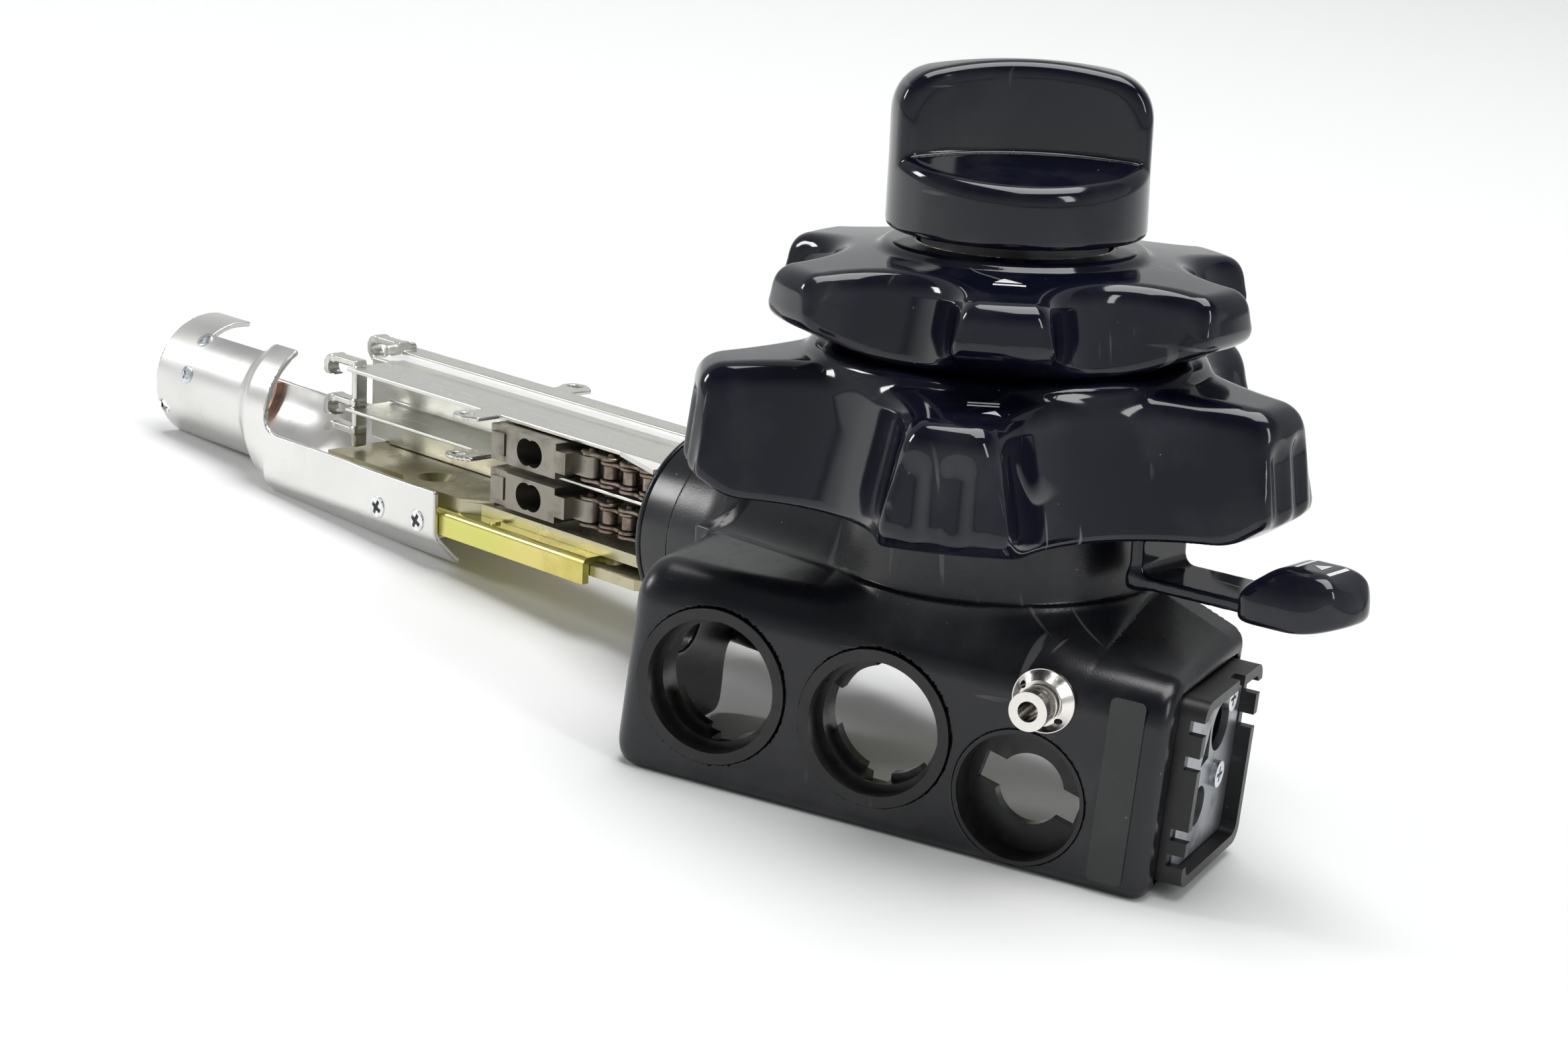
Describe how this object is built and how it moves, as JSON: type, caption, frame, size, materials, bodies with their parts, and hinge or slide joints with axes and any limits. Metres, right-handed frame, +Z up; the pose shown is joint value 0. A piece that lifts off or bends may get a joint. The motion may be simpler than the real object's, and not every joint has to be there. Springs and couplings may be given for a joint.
{
  "type": "endoscope control section",
  "caption": "Stripped control section of a flexible endoscope: stacked bending knobs and brakes on a black valve housing, with roller chains on an open sheet chassis.",
  "frame": {"origin": "where the knob axis crosses the axis of the front tube and the chassis", "axes": "+Z up the knob axis towards the brake cap, -X along the chassis towards the front tube, -Y towards the valve face"},
  "size_m": [0.1706, 0.0582, 0.0711],
  "materials": {
    "housing_black": "satin moulded black",
    "knob_black": "polished blue-black",
    "seat_black": "black anodised, satin",
    "frame_black": "matt moulded black",
    "seal_rubber": "matt",
    "label_grey": "satin film",
    "bright_steel": "polished stainless steel",
    "turned_steel": "turned",
    "screw_steel": "passivated",
    "bush_brass": "turned",
    "plate_grey": "satin sheet",
    "gold_plate": "yellow chromate on steel sheet",
    "nickel_plate": "dull nickel",
    "rail_steel": "satin pressed sheet",
    "tube_aluminium": "satin",
    "chain_steel": "oiled brown",
    "block_steel": "dark machined",
    "white_nylon": "matt"
  },
  "bodies": {
    "chassis": {"control_housing": "housing_black", "neck_seal": "seal_rubber", "valve_seat_suction": "seat_black", "valve_seat_air_water": "seat_black", "switch_seat": "seat_black", "plug_flange": "bright_steel", "plug_stub": "bright_steel", "plug_oring": "seal_rubber", "blank_label": "label_grey", "switch_frame": "frame_black", "switch_mount_plate": "plate_grey", "switch_plate_screws": "screw_steel", "boss_bush": "bush_brass", "shaft_oring": "seal_rubber", "ud_brake_plate": "turned_steel", "centre_post": "turned_steel", "post_clip": "turned_steel", "base_plate": "nickel_plate", "base_plate_screws": "screw_steel", "angle_bracket": "gold_plate", "neck_bridge": "nickel_plate", "guide_channel_near": "rail_steel", "guide_channel_rear": "rail_steel", "front_trough": "tube_aluminium", "tube_ring": "nickel_plate", "tube_screws": "screw_steel", "trough_screws": "screw_steel", "chain_shield": "white_nylon"},
    "ud_control": {"ud_shaft": "turned_steel", "ud_sprocket": "turned_steel", "ud_chain_loop": "chain_steel", "ud_knob": "knob_black"},
    "rl_control": {"rl_shaft": "turned_steel", "rl_sprocket": "turned_steel", "rl_chain_loop": "chain_steel", "rl_knob": "knob_black"},
    "rl_brake": {"rl_brake_cap": "knob_black", "rl_brake_disc": "turned_steel"},
    "ud_brake": {"ud_brake_lever": "seat_black", "lever_pad": "frame_black"},
    "ud_run_near": {"ud_block_near": "block_steel", "ud_chain_near": "chain_steel"},
    "ud_run_far": {"ud_block_far": "block_steel", "ud_chain_far": "chain_steel"},
    "rl_run_near": {"rl_block_near": "block_steel", "rl_chain_near": "chain_steel"},
    "rl_run_far": {"rl_block_far": "block_steel", "rl_chain_far": "chain_steel"}
  },
  "joints": [
    {"name": "ud_knob_turn", "type": "hinge", "parent": "chassis", "child": "ud_control", "pos_m": [0, 0, 0.02], "axis": [0, 0, 1], "range_deg": [-90, 90]},
    {"name": "rl_knob_turn", "type": "hinge", "parent": "chassis", "child": "rl_control", "pos_m": [0, 0, 0.031], "axis": [0, 0, 1], "range_deg": [-75, 75]},
    {"name": "rl_brake_turn", "type": "hinge", "parent": "chassis", "child": "rl_brake", "pos_m": [0, 0, 0.044], "axis": [0, 0, 1], "range_deg": [-45, 45]},
    {"name": "ud_brake_turn", "type": "hinge", "parent": "chassis", "child": "ud_brake", "pos_m": [0, 0, 0.0126], "axis": [0, 0, 1], "range_deg": [0, 40]},
    {"name": "ud_near_slide", "type": "slide", "parent": "chassis", "child": "ud_run_near", "axis": [1, 0, 0], "range_m": [-0.0072, 0.0072]},
    {"name": "ud_far_slide", "type": "slide", "parent": "chassis", "child": "ud_run_far", "axis": [1, 0, 0], "range_m": [-0.0072, 0.0072]},
    {"name": "rl_near_slide", "type": "slide", "parent": "chassis", "child": "rl_run_near", "axis": [1, 0, 0], "range_m": [-0.006, 0.006]},
    {"name": "rl_far_slide", "type": "slide", "parent": "chassis", "child": "rl_run_far", "axis": [1, 0, 0], "range_m": [-0.006, 0.006]}
  ],
  "couplings": [
    {"joint": "ud_near_slide", "follows": "ud_knob_turn", "m_per_rad": 0.004532},
    {"joint": "ud_far_slide", "follows": "ud_knob_turn", "m_per_rad": -0.004532},
    {"joint": "rl_near_slide", "follows": "rl_knob_turn", "m_per_rad": 0.004532},
    {"joint": "rl_far_slide", "follows": "rl_knob_turn", "m_per_rad": -0.004532}
  ]
}
